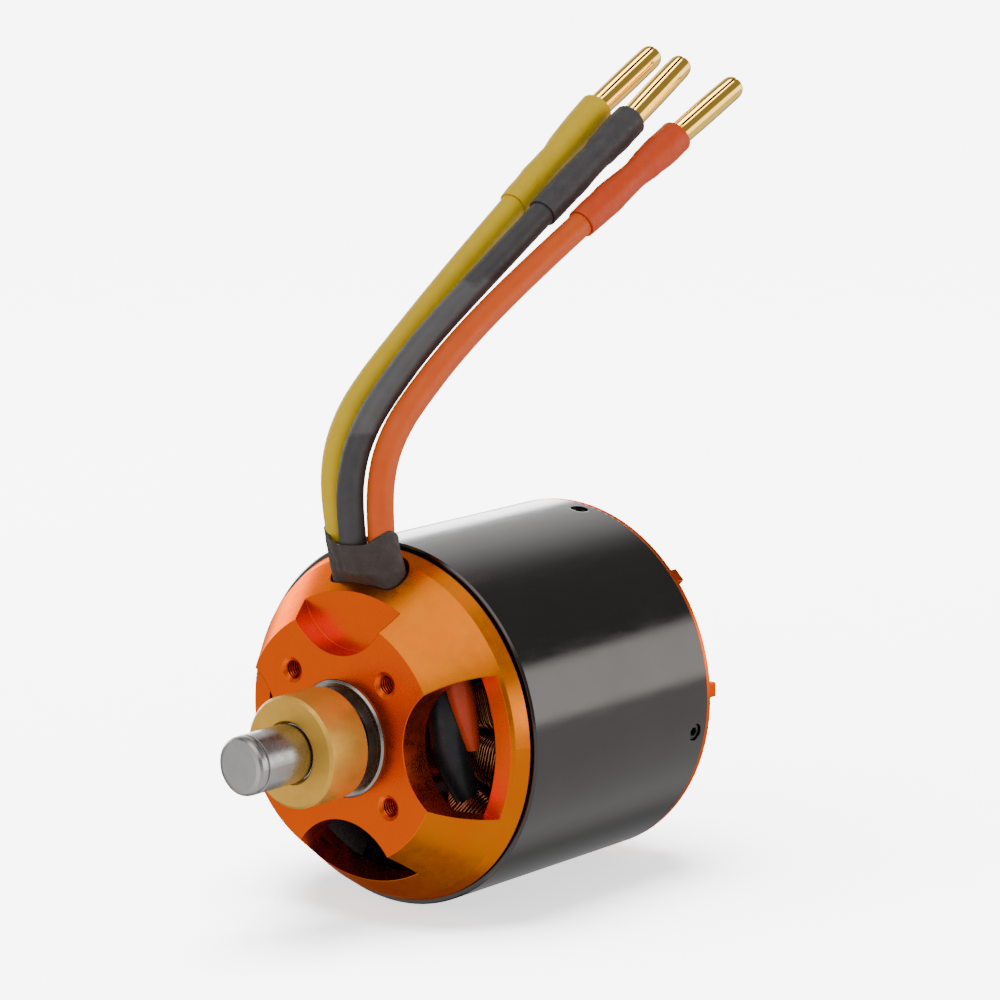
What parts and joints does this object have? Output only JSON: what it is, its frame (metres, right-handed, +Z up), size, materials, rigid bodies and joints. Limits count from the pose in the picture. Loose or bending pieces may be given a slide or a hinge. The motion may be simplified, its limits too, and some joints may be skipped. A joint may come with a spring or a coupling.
{
  "type": "brushless outrunner motor",
  "caption": "Outrunner motor: finned bell and steel can turning round a wound stator on a scalloped face mount, steel shaft with brass collar, sleeved leads with bullet plugs.",
  "frame": {"origin": "centre of the mounting face, on the shaft's axis", "axes": "+Y along the shaft from the mounting face into the motor, +Z up towards the leads' exit, +X to the right seen from in front of the mounting face"},
  "size_m": [0.05, 0.097, 0.1126],
  "materials": {
    "orange_anodised": "satin anodised, turned",
    "bearing_steel": "ground and polished",
    "bearing_shield": "pressed sheet, satin",
    "bearing_cage": "pressed sheet",
    "lamination_steel": "lacquered sheet edges",
    "copper_winding": "enamelled wire, glossy",
    "wrap_dark": "shrunk tube, satin, wrinkled",
    "lead_yellow": "satin sleeve",
    "lead_black": "satin sleeve",
    "lead_orange": "satin sleeve",
    "sleeve_yellow": "heat-shrink, satin",
    "sleeve_black": "heat-shrink, satin",
    "sleeve_orange": "heat-shrink, satin",
    "gold": "gold plated, polished",
    "shaft_steel": "ground",
    "brass": "turned",
    "black_screw": "black oxide",
    "can_black": "black, glossy",
    "magnet_nickel": "nickel plated"
  },
  "bodies": {
    "stator": {"bullet_black": "gold", "bullet_orange": "gold", "bullet_yellow": "gold", "coil_01": "copper_winding", "coil_02": "copper_winding", "coil_03": "copper_winding", "coil_04": "copper_winding", "coil_05": "copper_winding", "coil_06": "copper_winding", "coil_07": "copper_winding", "coil_08": "copper_winding", "coil_09": "copper_winding", "coil_10": "copper_winding", "coil_11": "copper_winding", "coil_12": "copper_winding", "coil_tail_black": "lead_black", "coil_tail_orange": "lead_orange", "coil_tail_yellow": "lead_yellow", "connector_sleeve_black": "sleeve_black", "connector_sleeve_orange": "sleeve_orange", "connector_sleeve_yellow": "sleeve_yellow", "exit_wrap": "wrap_dark", "front_bearing_outer_ring": "bearing_steel", "front_bearing_shields": "bearing_shield", "lead_black": "lead_black", "lead_orange": "lead_orange", "lead_yellow": "lead_yellow", "mount_bracket": "orange_anodised", "rear_bearing_outer_ring": "bearing_steel", "rear_bearing_shields": "bearing_shield", "stator_laminations": "lamination_steel"},
    "rotor": {"bell_set_screws": "black_screw", "can_screws": "black_screw", "collar_set_screw": "black_screw", "end_bell": "orange_anodised", "flux_ring": "can_black", "front_bearing_inner_ring": "bearing_steel", "front_spacer": "shaft_steel", "magnet_01": "magnet_nickel", "magnet_02": "magnet_nickel", "magnet_03": "magnet_nickel", "magnet_04": "magnet_nickel", "magnet_05": "magnet_nickel", "magnet_06": "magnet_nickel", "magnet_07": "magnet_nickel", "magnet_08": "magnet_nickel", "magnet_09": "magnet_nickel", "magnet_10": "magnet_nickel", "magnet_11": "magnet_nickel", "magnet_12": "magnet_nickel", "magnet_13": "magnet_nickel", "magnet_14": "magnet_nickel", "rear_bearing_inner_ring": "bearing_steel", "rear_spacer": "shaft_steel", "shaft": "shaft_steel", "shaft_collar": "brass"},
    "bearing_cages": {"front_bearing_balls": "bearing_steel", "front_bearing_cage": "bearing_cage", "rear_bearing_balls": "bearing_steel", "rear_bearing_cage": "bearing_cage"}
  },
  "joints": [
    {"name": "rotor_spin", "type": "hinge", "parent": "stator", "child": "rotor", "pos_m": [0, 0, 0], "axis": [0, 1, 0], "continuous": true},
    {"name": "cage_spin", "type": "hinge", "parent": "stator", "child": "bearing_cages", "pos_m": [0, 0, 0], "axis": [0, 1, 0], "continuous": true}
  ],
  "couplings": [
    {"joint": "cage_spin", "follows": "rotor_spin", "ratio": 0.41667}
  ]
}
